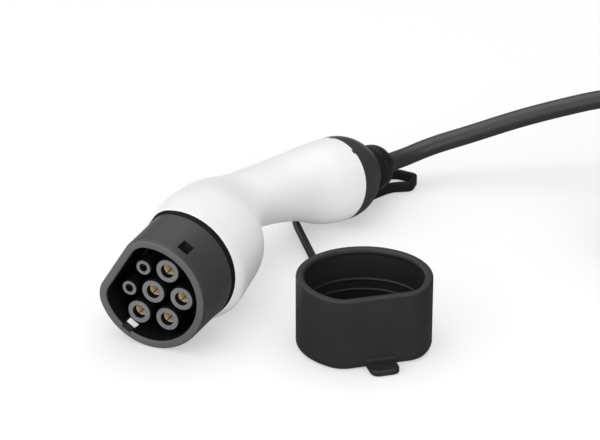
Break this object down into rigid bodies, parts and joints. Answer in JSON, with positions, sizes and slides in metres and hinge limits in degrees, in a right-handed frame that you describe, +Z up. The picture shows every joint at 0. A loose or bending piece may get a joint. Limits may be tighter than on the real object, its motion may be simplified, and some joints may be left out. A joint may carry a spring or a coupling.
{
  "type": "electric vehicle charging plug",
  "caption": "Vehicle charging plug with a bent white grip, dark round nose with recessed contacts, cable gland, and a dust cap on a tether, lying on a surface with its cable coiled.",
  "frame": {"origin": "middle of the footprint of plug, tether and dust cap, on the surface that they lie on; the cable and its coil are left out of it", "axes": "-Y along the nose, the way the plug is pushed in; +Z up; +X towards the dust cap"},
  "size_m": [0.3794, 0.3431, 0.0662],
  "materials": {
    "housing_plastic": "near-white moulded plastic, satin",
    "nose_plastic": "dark grey glass-filled plastic, fine grain",
    "carrier_plastic": "dark grey moulded plastic",
    "retainer_plastic": "grey moulded plastic",
    "contact_brass": "turned brass, lightly polished",
    "contact_silver": "turned and silver-plated",
    "screw_steel": "zinc-plated steel",
    "seal_rubber": "soft black rubber",
    "collar_plastic": "dark grey moulded plastic",
    "nut_plastic": "dark grey moulded plastic",
    "tether_rubber": "soft dark rubber",
    "cap_rubber": "dark rubber, silky",
    "cable_jacket": "extruded dark jacket, faintly glossy",
    "boot_rubber": "shrunk black sleeve",
    "core_brown": "brown insulation",
    "core_black": "black insulation",
    "core_grey": "grey insulation",
    "core_blue": "blue insulation",
    "core_green": "green and yellow insulation",
    "core_white": "white insulation",
    "resistor_body": "lacquered ceramic"
  },
  "bodies": {
    "plug": {"handle_housing": "housing_plastic", "nose_shell": "nose_plastic", "contact_carrier": "carrier_plastic", "contact_retainer": "retainer_plastic", "contact_line_1": "contact_brass", "contact_line_2": "contact_brass", "contact_line_3": "contact_brass", "contact_neutral": "contact_brass", "contact_earth": "contact_brass", "contact_pilot": "contact_silver", "contact_proximity": "contact_silver", "retainer_screws": "screw_steel", "clamp_screws": "screw_steel", "nose_seal": "seal_rubber", "gland_seal": "seal_rubber", "end_collar": "collar_plastic", "clamp_saddle": "retainer_plastic", "gland_nut": "nut_plastic", "cap_tether": "tether_rubber", "dust_cap": "cap_rubber", "cable": "cable_jacket", "cable_coil": "cable_jacket", "cable_inner": "cable_jacket", "cable_end_boot": "boot_rubber", "cable_tails": "core_grey", "core_line_1": "core_brown", "core_line_2": "core_black", "core_line_3": "core_grey", "core_neutral": "core_blue", "core_earth": "core_green", "core_pilot": "core_white", "coding_resistor": "resistor_body"},
    "tether_ring": {"tether_ring": "tether_rubber"}
  },
  "joints": [
    {"name": "tether_ring_turn", "type": "hinge", "parent": "plug", "child": "tether_ring", "pos_m": [-0.02312, 0.08678, 0.02211], "axis": [-0.2578, -0.9575, 0.1291], "range_deg": [-30, 30], "deforming": ["cap_tether"]}
  ]
}
